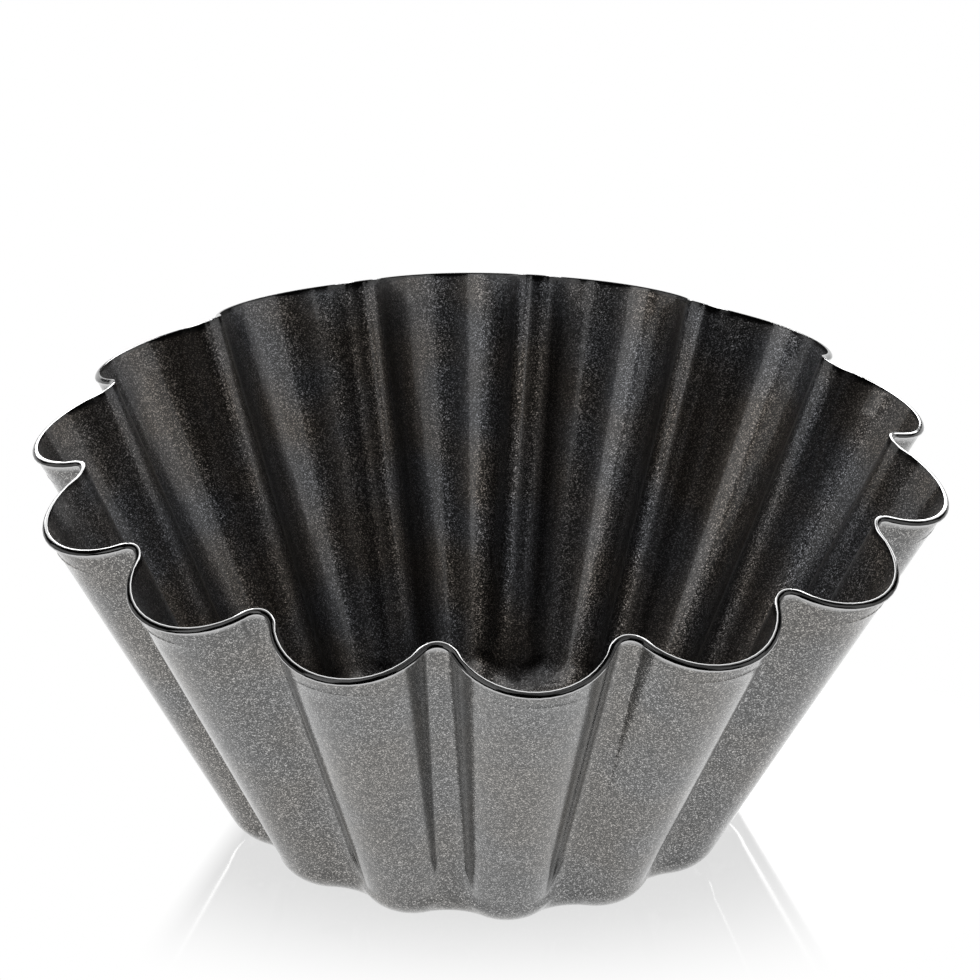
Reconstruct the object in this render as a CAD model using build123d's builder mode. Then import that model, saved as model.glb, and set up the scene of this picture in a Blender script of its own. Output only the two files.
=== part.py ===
"""Fluted brioche mould: a pressed steel shell with a baked non-stick coating inside and outside.

Millimetres, +Z up. The origin is on the underside, on the axis of the mould, and a crest lies on +X.
"""
from build123d import *
from math import asin, atan2, cos, degrees, hypot, pi, radians, sin, tan
import os

# Flutes
flute_count = 14

# Rim, as seen from above along the edge of the baking side
rim_crest_radius = 108.6
rim_valley_radius = 96.2
rim_valley_arc_radius = 7.5
rim_height = 95.8
rim_fall_angle = 25.8

# Foot, where the outer face of the wall would meet the level of the underside
foot_crest_radius = 60.2
foot_valley_radius = 56.5
foot_valley_arc_radius = 14.0
foot_rounding = 12.5
foot_steps = 4

# Level where the valleys are pressed in fully, measured on the outer face
groove_height = 12.0
groove_valley_radius = 59.2
groove_valley_arc_radius = 8.6

# Sheet and coating
sheet_thickness = 0.5
coating_thickness = 0.15

# Turned lip and the short flare under it
lip_width = 1.4
flare_height = 4.5
flare_growth = 0.3

# One overrun for every trimming body
overrun = 4.0

half_pitch = pi / flute_count
rim_fall = tan(radians(rim_fall_angle))
rim_crest_height = rim_height - rim_fall * (rim_crest_radius - rim_valley_radius)
crease_height = rim_crest_height - flare_height
wall_thickness = sheet_thickness + 2 * coating_thickness
wall_reach = rim_crest_radius - flare_growth - foot_crest_radius
wall_length = hypot(wall_reach, rim_crest_height)
wall_lean = atan2(rim_crest_height, wall_reach) - asin(wall_thickness / wall_length)
stand_off = wall_thickness / sin(wall_lean)
groove_depth = groove_height / tan(wall_lean) + foot_valley_radius - groove_valley_radius
steel_outside = coating_thickness
steel_inside = coating_thickness + sheet_thickness
loft_top = rim_height + overrun


def fluted_face(crest_radius, valley_radius, valley_arc_radius):
    """Face inside a closed line of rounded crests and valleys, each arc tangent to the next."""
    valley_centre = valley_radius + valley_arc_radius
    reach = valley_centre * cos(half_pitch)
    spread = crest_radius**2 + valley_centre**2 - 2 * crest_radius * reach - valley_arc_radius**2
    crest_arc_radius = spread / (2 * (valley_arc_radius + crest_radius - reach))
    crest_centre = crest_radius - crest_arc_radius
    turn = atan2(valley_centre * sin(half_pitch), reach - crest_centre)
    with BuildSketch() as fluted:
        with BuildLine():
            for flute in range(flute_count):
                crest_angle = 2 * half_pitch * flute
                valley_angle = crest_angle + half_pitch
                CenterArc(
                    center=(crest_centre * cos(crest_angle), crest_centre * sin(crest_angle)),
                    radius=crest_arc_radius,
                    start_angle=degrees(crest_angle - turn),
                    arc_size=degrees(2 * turn),
                )
                CenterArc(
                    center=(valley_centre * cos(valley_angle), valley_centre * sin(valley_angle)),
                    radius=valley_arc_radius,
                    start_angle=degrees(crest_angle + turn + pi),
                    arc_size=degrees(2 * (half_pitch - turn)),
                )
        make_face()
    return fluted.sketch


def between(low, high, share_of_way):
    """Size part of the way from a low one to a high one."""
    return low + (high - low) * share_of_way


def foot_face(turn, depth):
    """Face where the rounded foot has turned by an angle from the floor towards the wall."""
    set_in = foot_rounding * tan(wall_lean / 2) - (foot_rounding - depth) * sin(turn)
    pressed_share = foot_rounding * (1 - cos(turn)) / groove_height
    arc = between(foot_valley_arc_radius, groove_valley_arc_radius, pressed_share)
    return fluted_face(
        foot_crest_radius - set_in,
        foot_valley_radius - set_in - groove_depth * pressed_share,
        arc + set_in,
    )


def wall_face(level, depth):
    """Face of the wall at a level, a depth inside its outer face, with the flare above the crease."""
    inset = depth / sin(wall_lean)
    flare = flare_growth * max(level - crease_height, 0) / flare_height
    straight_share = (level - groove_height) / (rim_height - groove_height)
    valley = between(groove_valley_radius, rim_valley_radius + stand_off, straight_share)
    arc = between(groove_valley_arc_radius, rim_valley_arc_radius - stand_off, straight_share)
    return fluted_face(
        foot_crest_radius + level / tan(wall_lean) + flare - inset,
        valley - inset,
        arc + inset,
    )


def bowl(depth):
    """Solid bowl bounded by the surface that lies a depth inside the outer face of the mould."""
    with BuildPart() as form:
        for step in range(foot_steps + 1):
            turn = wall_lean * step / foot_steps
            level = foot_rounding - (foot_rounding - depth) * cos(turn)
            with BuildSketch(Plane.XY.offset(level)):
                add(foot_face(turn, depth))
        for level in (groove_height, crease_height, loft_top):
            with BuildSketch(Plane.XY.offset(level)):
                add(wall_face(level, depth))
        loft(ruled=True)
    return form.part


def under_rim(drop):
    """Everything under the shallow cone of the rim, lowered by a distance square to the cone."""
    lower = drop / cos(radians(rim_fall_angle))
    reach = rim_crest_radius + lip_width + overrun
    at_axis = rim_height + rim_fall * rim_valley_radius - lower
    with BuildPart() as form:
        with BuildSketch(Plane.XZ):
            with BuildLine():
                Polyline(
                    (0, -overrun),
                    (reach, -overrun),
                    (reach, at_axis - rim_fall * reach),
                    (0, at_axis),
                    close=True,
                )
            make_face()
        revolve(axis=Axis.Z)
    return form.part


def lip_face(growth):
    """Face inside the rim's line as seen from above, grown by a distance."""
    return fluted_face(
        rim_crest_radius + growth,
        rim_valley_radius + growth,
        rim_valley_arc_radius - growth,
    )


def lip_ring(inset, top, bottom):
    """Ring on the cone of the rim between two depths, out to the lip's edge less an inset."""
    with BuildPart() as form:
        with BuildSketch():
            add(lip_face(lip_width - inset))
            add(lip_face(-overrun / 2), mode=Mode.SUBTRACT)
        extrude(amount=loft_top)
        add(under_rim(top), mode=Mode.INTERSECT)
        add(under_rim(bottom), mode=Mode.SUBTRACT)
    return form.part


os.makedirs("parts", exist_ok=True)

# Pressed steel shell: floor, fluted wall and turned lip in one piece of sheet
with BuildPart() as steel_shell:
    add(bowl(steel_outside))
    add(under_rim(coating_thickness), mode=Mode.INTERSECT)
    add(lip_ring(coating_thickness, coating_thickness, steel_inside))
    add(bowl(steel_inside), mode=Mode.SUBTRACT)

# Non-stick coating of the baking side, up to the edge of the lip
with BuildPart() as inner_coating:
    add(bowl(steel_inside))
    add(under_rim(0), mode=Mode.INTERSECT)
    add(lip_ring(coating_thickness, 0, coating_thickness))
    add(bowl(wall_thickness), mode=Mode.SUBTRACT)

# Coating of the outside, which also wraps the cut edge of the lip
with BuildPart() as outer_coating:
    add(bowl(0))
    add(under_rim(steel_inside), mode=Mode.INTERSECT)
    add(lip_ring(0, 0, wall_thickness))
    add(lip_ring(coating_thickness, 0, steel_inside), mode=Mode.SUBTRACT)
    add(bowl(steel_outside), mode=Mode.SUBTRACT)

for node, name in (
    (steel_shell, "steel_shell"),
    (inner_coating, "inner_coating"),
    (outer_coating, "outer_coating"),
):
    node.part.label = name
    export_step(node.part, f"parts/{name}.step")
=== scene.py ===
from math import asin, atan2, cos, hypot, pi, radians, sin, tan

import bmesh
import bpy
import numpy as np
from mathutils import Matrix, Vector


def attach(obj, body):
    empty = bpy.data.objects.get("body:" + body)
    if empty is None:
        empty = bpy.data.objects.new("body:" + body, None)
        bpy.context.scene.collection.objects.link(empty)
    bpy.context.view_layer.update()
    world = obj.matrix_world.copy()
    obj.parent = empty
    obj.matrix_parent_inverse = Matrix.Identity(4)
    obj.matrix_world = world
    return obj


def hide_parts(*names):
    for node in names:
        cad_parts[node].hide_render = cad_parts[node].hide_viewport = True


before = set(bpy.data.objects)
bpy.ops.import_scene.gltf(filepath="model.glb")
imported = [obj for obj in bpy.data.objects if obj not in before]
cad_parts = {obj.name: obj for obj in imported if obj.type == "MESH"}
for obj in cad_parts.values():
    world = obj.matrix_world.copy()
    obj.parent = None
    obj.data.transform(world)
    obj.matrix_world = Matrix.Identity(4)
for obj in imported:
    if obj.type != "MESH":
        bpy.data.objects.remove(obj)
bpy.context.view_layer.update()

MM = 0.001

# Sizes of the mould that are the same as the solids'
FLUTES = 14
RIM_CREST = 108.6 * MM
RIM_VALLEY = 96.2 * MM
RIM_HEIGHT = 95.8 * MM
RIM_FALL = tan(radians(25.8))
FOOT_CREST = 60.2 * MM
FOOT_VALLEY = 56.5 * MM
FOOT_ARC = 14.0 * MM
FOOT_ROUNDING = 12.5 * MM
GROOVE_HEIGHT = 12.0 * MM
GROOVE_VALLEY = 59.2 * MM
SHEET = 0.5 * MM
COAT = 0.15 * MM
LIP = 1.4 * MM
FLARE_HEIGHT = 4.5 * MM
FLARE_GROWTH = 0.3 * MM

# Arcs of the valleys, tighter than the solids', and how far the rim stands above theirs
RIM_ARC = 5.6 * MM
GROOVE_ARC = 5.2 * MM
RIM_LIFT = 0.9 * MM

# Height below and above the grooves' foot over which they are eased in
GROOVE_BLEND = 6.0 * MM

# Lengths over which the corners of the lip are rounded off, and the depth of its edge
RIM_BEND = 0.2 * MM
UNDER_BEND = 0.05 * MM
EDGE_BEND = 0.12 * MM
EDGE_DEPTH = 0.6 * MM

# Angles that the rolled lip looks up at: over the wall, where the faces of the layers set in,
# where the sheet and the coat on it are cut, and at the lip's edge
LIP_START = radians(95)
LIP_COAT_TOP = radians(85)
LIP_SHEET_TOP = radians(80)
LIP_SHEET_UNDER = radians(22)
LIP_CUT = radians(10)
LIP_END = radians(-5)

# Fine raised line at the crease, which fades on its way from a crest's middle to its end
BEAD = 0.24 * MM
BEAD_WIDTH = 0.8 * MM
BEAD_FADE_START = 0.25
BEAD_FADE_END = 0.6

# How finely each stretch is drawn
ARC_STEPS = 18
FOOT_STEPS = 10
BLEND_STEPS = 8
WALL_STEPS = 16
BEAD_STEPS = 8
RIM_STEPS = 5
CORNER_STEPS = 6
LIP_STEPS = 6

# Rings before and after the end of the bend into the lip that carry the rim's light line, a painted
# highlight
RIDGE_RINGS = 2

# Edges that turn by more than this stay sharp
SHARP_ANGLE = radians(50)

# Each line of the wall meets the rim under this level, and that point is worked out in so many steps
ABOVE_RIM = RIM_HEIGHT + 4.0 * MM
SEARCH_STEPS = 8

HALF_PITCH = pi / FLUTES
RIM_CREST_HEIGHT = RIM_HEIGHT - RIM_FALL * (RIM_CREST - RIM_VALLEY)
CREASE_HEIGHT = RIM_CREST_HEIGHT - FLARE_HEIGHT
WALL = SHEET + 2 * COAT
WALL_REACH = RIM_CREST - FLARE_GROWTH - FOOT_CREST
WALL_LEAN = atan2(RIM_CREST_HEIGHT, WALL_REACH) - asin(WALL / hypot(WALL_REACH, RIM_CREST_HEIGHT))
STAND_OFF = WALL / sin(WALL_LEAN)
LIP_RADIUS = LIP / (cos(LIP_END) - cos(LIP_START))

# Growth of the valleys' radius and of their arcs with height, up to the grooves' foot and above it
VALLEY_RISE_LOW = (GROOVE_VALLEY - FOOT_VALLEY) / GROOVE_HEIGHT
VALLEY_RISE = (RIM_VALLEY + STAND_OFF - GROOVE_VALLEY) / (RIM_HEIGHT - GROOVE_HEIGHT)
ARC_RISE_LOW = (GROOVE_ARC - FOOT_ARC) / GROOVE_HEIGHT
ARC_RISE = (RIM_ARC - STAND_OFF - GROOVE_ARC) / (RIM_HEIGHT - GROOVE_HEIGHT)


def fluted_ring(crest, valley, arc, level):
    """Points of one fluted line: crest and valley arcs in turn, each tangent to the next."""
    valley_centre = valley + arc
    reach = valley_centre * cos(HALF_PITCH)
    spread = crest**2 + valley_centre**2 - 2 * crest * reach - arc**2
    crest_arc = spread / (2 * (arc + crest - reach))
    crest_centre = crest - crest_arc
    turn = atan2(valley_centre * sin(HALF_PITCH), reach - crest_centre)
    step = np.arange(ARC_STEPS) / ARC_STEPS
    rings = []
    for flute in range(FLUTES):
        crest_angle = 2 * HALF_PITCH * flute
        valley_angle = crest_angle + HALF_PITCH
        crest_turn = crest_angle - turn + 2 * turn * step
        valley_turn = crest_angle + turn + pi + 2 * (HALF_PITCH - turn) * step
        for middle, angle, radius, turns in (
            (crest_centre, crest_angle, crest_arc, crest_turn),
            (valley_centre, valley_angle, arc, valley_turn),
        ):
            x = middle * cos(angle) + radius * np.cos(turns)
            y = middle * sin(angle) + radius * np.sin(turns)
            rings.append(np.stack([x, y, np.full(ARC_STEPS, level)], 1))
    return np.concatenate(rings)


def valley_and_arc(level):
    """Radius of the valleys and of their arcs on the outer face at a level, eased at the grooves' foot."""
    past = level - GROOVE_HEIGHT
    eased = max(past, 0)
    if abs(past) < GROOVE_BLEND:
        eased = (past + GROOVE_BLEND) ** 2 / (4 * GROOVE_BLEND)
    valley = FOOT_VALLEY + VALLEY_RISE_LOW * level + (VALLEY_RISE - VALLEY_RISE_LOW) * eased
    arc = FOOT_ARC + ARC_RISE_LOW * level + (ARC_RISE - ARC_RISE_LOW) * eased
    return valley, arc


def foot_ring(turn, depth):
    """Ring where the rounded foot has turned by an angle from the floor towards the wall."""
    set_in = FOOT_ROUNDING * tan(WALL_LEAN / 2) - (FOOT_ROUNDING - depth) * sin(turn)
    level = FOOT_ROUNDING - (FOOT_ROUNDING - depth) * cos(turn)
    outer_level = FOOT_ROUNDING * (1 - cos(turn))
    valley, arc = valley_and_arc(outer_level)
    drawn_back = set_in + outer_level / tan(WALL_LEAN)
    return fluted_ring(FOOT_CREST - set_in, valley - drawn_back, arc + set_in, level)


def wall_ring(level, depth):
    """Ring of the wall at a level and a depth under its outer face, with the flare above the crease."""
    inset = depth / sin(WALL_LEAN)
    flare = FLARE_GROWTH * max(level - CREASE_HEIGHT, 0) / FLARE_HEIGHT
    valley, arc = valley_and_arc(level)
    crest = FOOT_CREST + level / tan(WALL_LEAN) + flare
    return fluted_ring(crest - inset, valley - inset, arc + inset, level)


def on_cone(ring, drop):
    """The ring moved up or down onto the shallow cone of the rim, lowered by a depth square to it."""
    radius = np.hypot(ring[:, 0], ring[:, 1])
    lowered = drop * (1 + RIM_FALL**2) ** 0.5
    placed = ring.copy()
    placed[:, 2] = RIM_HEIGHT + RIM_LIFT - RIM_FALL * (radius - RIM_VALLEY) - lowered
    return placed


def rim_ring(depth, drop):
    """Ring where the wall at a depth meets the cone of the rim, found along each line of the wall."""
    low, high = wall_ring(CREASE_HEIGHT, depth), wall_ring(ABOVE_RIM, depth)
    share = np.ones(len(low))
    for _ in range(SEARCH_STEPS):
        point = low + share[:, None] * (high - low)
        miss = on_cone(point, drop)[:, 2] - point[:, 2]
        share = share + miss / (high[:, 2] - low[:, 2])
    return low + share[:, None] * (high - low)


def lip_ring(turn, depth):
    """Ring of the rolled lip where its top face looks up at an angle, at a depth under that face."""
    growth = (LIP_RADIUS - depth) * cos(turn) - LIP_RADIUS * cos(LIP_START)
    rise = (LIP_RADIUS - depth) * sin(turn) - LIP_RADIUS * sin(LIP_START)
    line = on_cone(fluted_ring(RIM_CREST, RIM_VALLEY, RIM_ARC, 0), 0)
    ring = fluted_ring(RIM_CREST + growth, RIM_VALLEY + growth, RIM_ARC - growth, 0)
    ring[:, 2] = line[:, 2] + rise
    return ring


def lip_rings(start, end, depth):
    """Rings of one face of the lip between two angles of its top face."""
    turns = [start + (end - start) * step / LIP_STEPS for step in range(LIP_STEPS + 1)]
    return [lip_ring(turn, depth) for turn in turns]


def unit(vectors):
    """The same directions, each of length one."""
    return vectors / np.linalg.norm(vectors, axis=1, keepdims=True)


def rounded(before, corner, after, length):
    """Rings that round a corner ring off over a length towards each neighbour."""
    start = corner + length * unit(before - corner)
    end = corner + length * unit(after - corner)
    rings = []
    for step in range(CORNER_STEPS + 1):
        share = step / CORNER_STEPS
        rings.append((1 - share) ** 2 * start + 2 * share * (1 - share) * corner + share**2 * end)
    return rings


def on_crests():
    """Weight of each point of a ring: one on the crests, fading to nothing towards the flanks."""
    step = np.abs(2 * np.arange(ARC_STEPS) / ARC_STEPS - 1)
    weight = np.clip((BEAD_FADE_END - step) / (BEAD_FADE_END - BEAD_FADE_START), 0, 1)
    weight = weight * weight * (3 - 2 * weight)
    return np.tile(np.concatenate([weight, np.zeros(ARC_STEPS)]), FLUTES)[:, None]


def bead_rings(depth, beaded):
    """Rings across the crease, swelled on the crests where the face carries the raised line."""
    rings = []
    for step in range(1, BEAD_STEPS + 1):
        share = step / BEAD_STEPS
        ring = wall_ring(CREASE_HEIGHT + BEAD_WIDTH * (share - 0.5), depth)
        if beaded:
            radius = np.hypot(ring[:, 0], ring[:, 1])[:, None]
            swell = BEAD * sin(pi * share) ** 2 * on_crests()
            ring[:, :2] += ring[:, :2] / radius * swell
        rings.append(ring)
    return rings


def wall_rings(depth, drop, beaded=False):
    """Rings of one face of the wall from the floor's edge up to just under the rim."""
    rings = [foot_ring(WALL_LEAN * step / FOOT_STEPS, depth) for step in range(FOOT_STEPS + 1)]
    foot_level = rings[-1][0, 2]
    blend_top = GROOVE_HEIGHT + GROOVE_BLEND
    bead_foot = CREASE_HEIGHT - BEAD_WIDTH / 2
    for step in range(1, BLEND_STEPS + 1):
        rings.append(wall_ring(foot_level + (blend_top - foot_level) * step / BLEND_STEPS, depth))
    for step in range(1, WALL_STEPS + 1):
        rings.append(wall_ring(blend_top + (bead_foot - blend_top) * step / WALL_STEPS, depth))
    rings += bead_rings(depth, beaded)
    last, rim = rings[-1], rim_ring(depth, drop)
    for step in range(1, RIM_STEPS):
        rings.append(last + (rim - last) * step / RIM_STEPS)
    return rings


def shell_through(rings, on_lip, on_ridge):
    """Closed shell from the floor inside through each ring in turn to the floor outside."""
    shell = bmesh.new()
    # Masks: the lip, made smoother and given its painted shade or glint, and the ridge with its painted
    # highlight
    lip_gloss_and_painted_light = shell.verts.layers.float.new("lip_gloss_and_painted_light")
    painted_ridge_highlight = shell.verts.layers.float.new("painted_ridge_highlight")
    # The floor starts as a plain circle, whose points then move to their places
    bmesh.ops.create_circle(shell, cap_ends=True, segments=len(rings[0]), radius=1)
    shell.verts.ensure_lookup_table()
    loop = list(shell.verts)
    for vert, place in zip(loop, rings[0]):
        vert.co = place
    for number, ring in enumerate(rings[1:], 1):
        border = []
        for vert, after in zip(loop, loop[1:] + loop[:1]):
            border.append(next(e for e in vert.link_edges if e.other_vert(vert) is after))
        grown = bmesh.ops.extrude_edge_only(shell, edges=border)["geom"]
        fresh = {g for g in grown if isinstance(g, bmesh.types.BMVert)}
        loop = [next(e.other_vert(v) for e in v.link_edges if e.other_vert(v) in fresh) for v in loop]
        for vert, place in zip(loop, ring):
            vert.co = place
            vert[lip_gloss_and_painted_light] = float(number in on_lip)
            vert[painted_ridge_highlight] = float(number in on_ridge)
    shell.faces.new(loop)
    bmesh.ops.recalc_face_normals(shell, faces=shell.faces[:])
    return shell


def layer(name, inner_depth, outer_depth, top, under, top_turn, under_turn):
    """One layer of the mould, between two depths in the wall and two under the rim's cone.

    Its stretch of the lip starts on top at one angle and ends underneath at another, or without
    that second angle goes round the lip's edge.
    """
    inside = wall_rings(inner_depth, top)
    outside = wall_rings(outer_depth, under, beaded=outer_depth == 0)
    rim_in, rim_out = rim_ring(inner_depth, top), rim_ring(outer_depth, under)
    lip_top = lip_rings(top_turn, LIP_CUT, top)
    lip = rounded(inside[-1], rim_in, lip_top[0], UNDER_BEND if top else RIM_BEND) + lip_top
    if under_turn:
        lip_under = lip_rings(LIP_CUT, under_turn, under)
        lip += lip_under
    else:
        cut, edge = lip_ring(LIP_CUT, 0), lip_ring(LIP_END, 0)
        lip_under = [lip_ring(LIP_END, EDGE_DEPTH)]
        lip += [cut] + rounded(cut, edge, lip_under[0], EDGE_BEND)
        lip += rounded(edge, lip_under[0], rim_out, EDGE_BEND)
    lip += rounded(lip_under[-1], rim_out, outside[-1], UNDER_BEND)
    crown = len(inside) + CORNER_STEPS
    on_lip = range(len(inside), len(inside) + len(lip))
    on_ridge = () if top else range(crown - RIDGE_RINGS, crown + RIDGE_RINGS)
    shell = shell_through(inside + lip + outside[::-1], on_lip, on_ridge)
    mesh = bpy.data.meshes.new(name)
    shell.to_mesh(mesh)
    shell.free()
    mesh.shade_smooth()
    mesh.set_sharp_from_angle(angle=SHARP_ANGLE)
    piece = bpy.data.objects.new(name, mesh)
    bpy.context.collection.objects.link(piece)
    return piece


# Aluminium flakes are about 0.05 mm across and drawn wider, so that they show at all. The higher
# their rarity, the fewer of them are bright.
FLAKE = 0.22 * MM
FLAKE_RARITY = 5.0

# The coats are sprayed unevenly in patches of about this size, between these values of the noise
PATCH = 22 * MM
PATCH_LOW = 0.38
PATCH_HIGH = 0.62

# Lighter shade of the coat along the top of the bend into the lip: a painted highlight, the rim's light
# line
RIDGE_PAINTED_HIGHLIGHT = "#8c8c8c"

# Marks that rolling leaves on steel sheet
MARK_LENGTH = 6 * MM
MARK_WIDTH = 0.5 * MM

# Sockets of a Mix node that mixes colours
MIX_A, MIX_B, MIX_RESULT = 6, 7, 2


def linear(code):
    """Linear red, green, blue and alpha of an sRGB hex colour."""
    parts = [int(code[i : i + 2], 16) / 255 for i in (1, 3, 5)]
    return [p / 12.92 if p <= 0.04045 else ((p + 0.055) / 1.055) ** 2.4 for p in parts] + [1.0]


def add_node(tree, kind, settings=(), values=(), links=()):
    """Adds a node, sets its properties and the values of its inputs, and links inputs to sockets."""
    made = tree.nodes.new(kind)
    for key, setting in dict(settings).items():
        setattr(made, key, setting)
    for key, value in dict(values).items():
        made.inputs[key].default_value = value
    for key, socket in dict(links).items():
        tree.links.new(socket, made.inputs[key])
    return made


def new_material(name):
    """An empty material and its node tree."""
    material = bpy.data.materials.new(name)
    material.use_nodes = True
    material.node_tree.nodes.clear()
    return material, material.node_tree


def flecked_coat(
    name,
    binder,
    flakes,
    warm,
    cool,
    cast_share,
    flake_lean,
    roughness,
    skin,
    skin_roughness,
    lip_painted_light,
    lip_roughness,
):
    """Sprayed and baked coating: fine aluminium flakes in a darker binder under a thin clear skin."""
    material, tree = new_material(name)
    place = add_node(tree, "ShaderNodeTexCoord").outputs["Object"]
    cells = add_node(
        tree, "ShaderNodeTexVoronoi", values={"Scale": 1 / FLAKE}, links={"Vector": place}
    )
    chance = add_node(tree, "ShaderNodeSeparateColor", links={"Color": cells.outputs["Color"]})
    few = add_node(
        tree,
        "ShaderNodeMath",
        settings={"operation": "POWER"},
        values={1: FLAKE_RARITY},
        links={0: chance.outputs["Red"]},
    )
    flecks = add_node(
        tree,
        "ShaderNodeMix",
        settings={"data_type": "RGBA"},
        values={MIX_A: linear(binder), MIX_B: linear(flakes)},
        links={"Factor": few.outputs[0]},
    )

    # The coat looks warmer where it is thick and cooler where it is thin
    cloud = add_node(
        tree,
        "ShaderNodeTexNoise",
        values={"Scale": 1 / PATCH, "Detail": 1.0},
        links={"Vector": place},
    )
    spread = add_node(
        tree,
        "ShaderNodeMapRange",
        values={"From Min": PATCH_LOW, "From Max": PATCH_HIGH},
        links={"Value": cloud.outputs["Fac"]},
    )
    cast = add_node(
        tree,
        "ShaderNodeMix",
        settings={"data_type": "RGBA"},
        values={MIX_A: linear(warm), MIX_B: linear(cool)},
        links={"Factor": spread.outputs["Result"]},
    )
    tinted = add_node(
        tree,
        "ShaderNodeMix",
        settings={"data_type": "RGBA", "blend_type": "MULTIPLY"},
        values={"Factor": cast_share},
        links={MIX_A: flecks.outputs[MIX_RESULT], MIX_B: cast.outputs[MIX_RESULT]},
    )

    # On the lip the coat is stretched smooth, and its colour there is one even shade painted in for the
    # light (dark as painted shade inside, light as a painted glint outside), with a painted highlight
    # along the top of the bend
    on_lip = add_node(tree, "ShaderNodeAttribute", settings={"attribute_name": "lip_gloss_and_painted_light"})
    on_ridge = add_node(tree, "ShaderNodeAttribute", settings={"attribute_name": "painted_ridge_highlight"})
    lip_painted_colour = add_node(
        tree,
        "ShaderNodeMix",
        settings={"data_type": "RGBA"},
        values={MIX_A: linear(lip_painted_light), MIX_B: linear(RIDGE_PAINTED_HIGHLIGHT)},
        links={"Factor": on_ridge.outputs["Fac"]},
    )
    colour = add_node(
        tree,
        "ShaderNodeMix",
        settings={"data_type": "RGBA"},
        links={
            "Factor": on_lip.outputs["Fac"],
            MIX_A: tinted.outputs[MIX_RESULT],
            MIX_B: lip_painted_colour.outputs[MIX_RESULT],
        },
    )
    rough = add_node(
        tree,
        "ShaderNodeMapRange",
        values={"To Min": roughness, "To Max": lip_roughness},
        links={"Value": on_lip.outputs["Fac"]},
    )

    # Each flake lies at its own small angle to the wall, and flat on the lip
    lean = add_node(
        tree,
        "ShaderNodeMapRange",
        values={"To Min": flake_lean, "To Max": 0},
        links={"Value": on_lip.outputs["Fac"]},
    )
    off_centre = add_node(
        tree,
        "ShaderNodeVectorMath",
        settings={"operation": "SUBTRACT"},
        values={1: (0.5, 0.5, 0.5)},
        links={0: cells.outputs["Color"]},
    )
    tilt = add_node(
        tree,
        "ShaderNodeVectorMath",
        settings={"operation": "SCALE"},
        links={0: off_centre.outputs["Vector"], "Scale": lean.outputs["Result"]},
    )
    square_on = add_node(tree, "ShaderNodeNewGeometry").outputs["Normal"]
    leaning = add_node(
        tree,
        "ShaderNodeVectorMath",
        settings={"operation": "ADD"},
        links={0: square_on, 1: tilt.outputs["Vector"]},
    )
    normal = add_node(
        tree,
        "ShaderNodeVectorMath",
        settings={"operation": "NORMALIZE"},
        links={0: leaning.outputs["Vector"]},
    )

    shader = add_node(
        tree,
        "ShaderNodeBsdfPrincipled",
        values={"Metallic": 1.0, "Coat Weight": skin, "Coat Roughness": skin_roughness},
        links={
            "Base Color": colour.outputs[MIX_RESULT],
            "Normal": normal.outputs["Vector"],
            "Roughness": rough.outputs["Result"],
        },
    )
    add_node(tree, "ShaderNodeOutputMaterial", links={"Surface": shader.outputs["BSDF"]})
    return material


def rolled_sheet():
    """Cold rolled steel sheet: plain grey metal with a satin sheen and fine streaks from the rolls."""
    material, tree = new_material("rolled_steel_sheet")
    place = add_node(tree, "ShaderNodeTexCoord").outputs["Object"]
    narrowing = MARK_LENGTH / MARK_WIDTH
    stretch = add_node(
        tree,
        "ShaderNodeMapping",
        values={"Scale": (1, narrowing, narrowing)},
        links={"Vector": place},
    )
    marks = add_node(
        tree,
        "ShaderNodeTexNoise",
        values={"Scale": 1 / MARK_LENGTH},
        links={"Vector": stretch.outputs["Vector"]},
    )
    rough = add_node(
        tree,
        "ShaderNodeMapRange",
        values={"To Min": 0.28, "To Max": 0.42},
        links={"Value": marks.outputs["Fac"]},
    )
    shader = add_node(
        tree,
        "ShaderNodeBsdfPrincipled",
        values={"Base Color": linear("#a9a9ab"), "Metallic": 1.0},
        links={"Roughness": rough.outputs["Result"]},
    )
    add_node(tree, "ShaderNodeOutputMaterial", links={"Surface": shader.outputs["BSDF"]})
    return material


def finish_piece(piece, node, material):
    """Gives a piece its material and puts it in the place of a node of the part."""
    piece.data.materials.append(material)
    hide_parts(node)
    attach(piece, "root")


# Non-stick coating, sprayed on in dark layers and baked: a satin, nearly black grey with a fine
# sparkle, a faint warm and cool cast, and a smoother lip painted darker as shade, with a painted highlight
# along the top of its bend
nonstick_inside = flecked_coat(
    "baked_nonstick_inside",
    binder="#373736",
    flakes="#a2a19f",
    warm="#c0a892",
    cool="#a4aabe",
    cast_share=0.55,
    flake_lean=0.25,
    roughness=0.38,
    skin=0.4,
    skin_roughness=0.12,
    # Painted shade on the lip
    lip_painted_light="#262626",
    lip_roughness=0.1,
)

# Aluminium-filled coating, sprayed thinly on the outside and baked: a mid grey with fine light
# flecks, smooth enough to mirror the lights as broad soft bands, with the lip and its edge painted lighter
# as a glint
coat_outside = flecked_coat(
    "baked_coat_outside",
    binder="#5b5b5a",
    flakes="#d8d6d3",
    warm="#dcd4cc",
    cool="#d0d4dc",
    cast_share=0.35,
    flake_lean=0.09,
    roughness=0.1,
    skin=0.4,
    skin_roughness=0.02,
    # Painted glint on the lip and its edge
    lip_painted_light="#c0c0c0",
    lip_roughness=0.08,
)

inner = layer(
    "baking_side_coat",
    inner_depth=WALL,
    outer_depth=COAT + SHEET,
    top=0,
    under=COAT,
    top_turn=LIP_COAT_TOP,
    under_turn=LIP_SHEET_TOP,
)
finish_piece(inner, "inner_coating", nonstick_inside)
core = layer(
    "pressed_sheet",
    inner_depth=COAT + SHEET,
    outer_depth=COAT,
    top=COAT,
    under=COAT + SHEET,
    top_turn=LIP_SHEET_TOP,
    under_turn=LIP_SHEET_UNDER,
)
finish_piece(core, "steel_shell", rolled_sheet())
outer = layer(
    "outside_coat",
    inner_depth=COAT,
    outer_depth=0,
    top=COAT + SHEET,
    under=WALL,
    top_turn=LIP_SHEET_UNDER,
    under_turn=None,
)
finish_piece(outer, "outer_coating", coat_outside)


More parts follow.
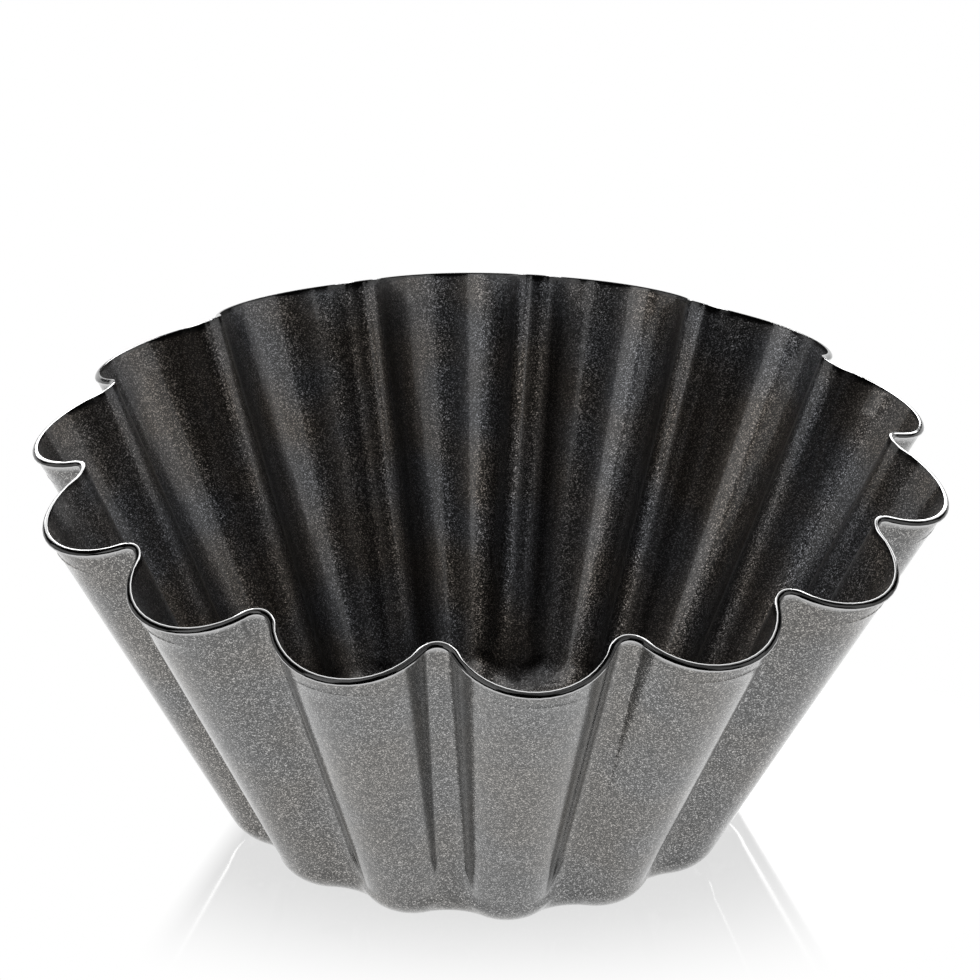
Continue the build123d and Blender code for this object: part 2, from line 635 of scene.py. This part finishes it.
# The camera of the photograph, found by fitting the rim's and the foot's outlines to it. Its place is
# in metres, its picture in pixels and its sensor in millimetres. It stands a little to the side of
# the crest that is nearest to it.
PHOTO_SIZE = 980
MIDDLE_PIXEL = 488.66
FOCAL_PIXELS = 8577
SENSOR_WIDTH = 36
NEAREST_CREST = -3
CAMERA_TURN = radians(6.47)
CAMERA_AWAY = 1.8175
CAMERA_HEIGHT = 1.0294
CAMERA_PITCH = radians(27.43)
CAMERA_ROLL = radians(0.96)
FRONT = 2 * HALF_PITCH * NEAREST_CREST - CAMERA_TURN

# The table mirrors the mould round its foot, more strongly than plain paint. The mirror image fades
# between two distances from the mould's axis, where a step across the view counts less than one
# along it, and ends at the left at a slanting line.
SHEEN = 3.1
SHEEN_START = 44 * MM
SHEEN_END = 100 * MM
SHEEN_ACROSS = 0.7
SHEEN_SLANT = 0.317
SHEEN_LEFT = -58 * MM
SHEEN_FULL = -52 * MM

# Half the side of the table, in metres
TABLE_REACH = 16

# Soft boxes, all at one distance in metres from the middle of the mould: name, degrees round from the
# camera, degrees up, width and height in metres, and brightness
LIGHT_DISTANCE = 2.3
SOFT_BOXES = (
    ("left_box", -47, 32, 1.15, 1.0, 3.0),
    ("left_high", -42, 60, 1.4, 1.2, 2.2),
    ("left_low", -90, 12, 2.4, 0.9, 1.35),
    ("right_box", 64, 32, 2.3, 1.0, 1.75),
    ("right_high", 42, 60, 1.4, 1.2, 1.1),
    ("right_low", 90, 12, 2.4, 0.9, 1.35),
    ("back_box", 180, 22, 3.5, 1.1, 11),
    ("back_high", 180, 55, 2.6, 1.6, 5),
    ("top_box", 0, 87, 1.6, 0.2, 5),
)


def make_camera():
    """The photograph's camera, a long lens from above the front."""
    data = bpy.data.cameras.new("photo_camera")
    data.sensor_width = SENSOR_WIDTH
    data.lens = SENSOR_WIDTH * FOCAL_PIXELS / PHOTO_SIZE
    data.shift_x = 0.5 - MIDDLE_PIXEL / PHOTO_SIZE
    data.clip_start, data.clip_end = 0.1, 100
    camera = bpy.data.objects.new("photo_camera", data)
    bpy.context.collection.objects.link(camera)
    bpy.context.scene.camera = camera
    place = Matrix.Translation((CAMERA_AWAY * cos(FRONT), CAMERA_AWAY * sin(FRONT), CAMERA_HEIGHT))
    turn = Matrix.Rotation(FRONT + pi / 2, 4, "Z")
    tilt = Matrix.Rotation(pi / 2 - CAMERA_PITCH, 4, "X")
    roll = Matrix.Rotation(CAMERA_ROLL, 4, "Z")
    camera.matrix_world = place @ turn @ tilt @ roll


def make_world():
    """Dark studio round the lights, with a trace of light from everywhere."""
    world = bpy.data.worlds.new("studio")
    bpy.context.scene.world = world
    world.use_nodes = True
    tree = world.node_tree
    tree.nodes.clear()
    back = add_node(
        tree, "ShaderNodeBackground", values={"Color": linear("#ffffff"), "Strength": 0.02}
    )
    add_node(tree, "ShaderNodeOutputWorld", links={"Surface": back.outputs["Background"]})


def painted_table():
    """Painted board, sprayed white and polished: an even white that mirrors what stands on it."""
    material, tree = new_material("white_painted_board")
    place = add_node(tree, "ShaderNodeTexCoord").outputs["Object"]
    turned = add_node(
        tree,
        "ShaderNodeMapping",
        settings={"vector_type": "TEXTURE"},
        values={"Rotation": (0, 0, FRONT), "Scale": (1, 1 / SHEEN_ACROSS, 1)},
        links={"Vector": place},
    )
    away = add_node(
        tree,
        "ShaderNodeVectorMath",
        settings={"operation": "LENGTH"},
        links={0: turned.outputs["Vector"]},
    )
    fading = add_node(
        tree,
        "ShaderNodeMapRange",
        settings={"interpolation_type": "SMOOTHSTEP"},
        values={"From Min": SHEEN_START, "From Max": SHEEN_END, "To Min": SHEEN, "To Max": 0},
        links={"Value": away.outputs["Value"]},
    )
    slanting = (
        SHEEN_SLANT * cos(FRONT) - sin(FRONT),
        SHEEN_SLANT * sin(FRONT) + cos(FRONT),
        0,
    )
    across = add_node(
        tree,
        "ShaderNodeVectorMath",
        settings={"operation": "DOT_PRODUCT"},
        values={1: slanting},
        links={0: place},
    )
    beside = add_node(
        tree,
        "ShaderNodeMapRange",
        values={"From Min": SHEEN_LEFT, "From Max": SHEEN_FULL},
        links={"Value": across.outputs["Value"]},
    )
    within = add_node(
        tree,
        "ShaderNodeMath",
        settings={"operation": "MULTIPLY"},
        links={0: fading.outputs["Result"], 1: beside.outputs["Result"]},
    )
    grazing = add_node(tree, "ShaderNodeFresnel", values={"IOR": 1.5})
    sheen = add_node(
        tree,
        "ShaderNodeMath",
        settings={"operation": "MULTIPLY", "use_clamp": True},
        links={0: within.outputs[0], 1: grazing.outputs["Fac"]},
    )
    glow = add_node(tree, "ShaderNodeEmission", values={"Strength": 1.0})
    mirror = add_node(
        tree, "ShaderNodeBsdfGlossy", values={"Color": linear("#8c8c8c"), "Roughness": 0.08}
    )
    top = add_node(
        tree,
        "ShaderNodeMixShader",
        links={"Fac": sheen.outputs[0], 1: glow.outputs[0], 2: mirror.outputs[0]},
    )
    add_node(tree, "ShaderNodeOutputMaterial", links={"Surface": top.outputs[0]})
    return material


def make_floor():
    """White table top, which glows evenly as if lit from all round."""
    table = bmesh.new()
    bmesh.ops.create_grid(table, x_segments=1, y_segments=1, size=TABLE_REACH)
    mesh = bpy.data.meshes.new("table_top")
    table.to_mesh(mesh)
    table.free()
    floor = bpy.data.objects.new("table_top", mesh)
    bpy.context.collection.objects.link(floor)
    floor.data.materials.append(painted_table())


def soft_box(name, azimuth, elevation, width, height, brightness):
    """Rectangular soft light aimed at the middle of the mould."""
    lamp = bpy.data.lights.new(name, "AREA")
    lamp.shape = "RECTANGLE"
    lamp.size, lamp.size_y = width, height
    lamp.energy = brightness * pi * width * height
    light = bpy.data.objects.new(name, lamp)
    bpy.context.collection.objects.link(light)
    target = Vector((0, 0, RIM_HEIGHT / 2))
    flat = cos(elevation)
    away = Vector((cos(azimuth) * flat, sin(azimuth) * flat, sin(elevation)))
    light.location = target + away * LIGHT_DISTANCE
    light.rotation_mode = "QUATERNION"
    light.rotation_quaternion = (-away).to_track_quat("-Z", "Y")


make_camera()
make_world()
make_floor()
for box, azimuth, elevation, width, height, brightness in SOFT_BOXES:
    soft_box(box, FRONT + radians(azimuth), radians(elevation), width, height, brightness)
bpy.context.scene.view_settings.view_transform = "Standard"
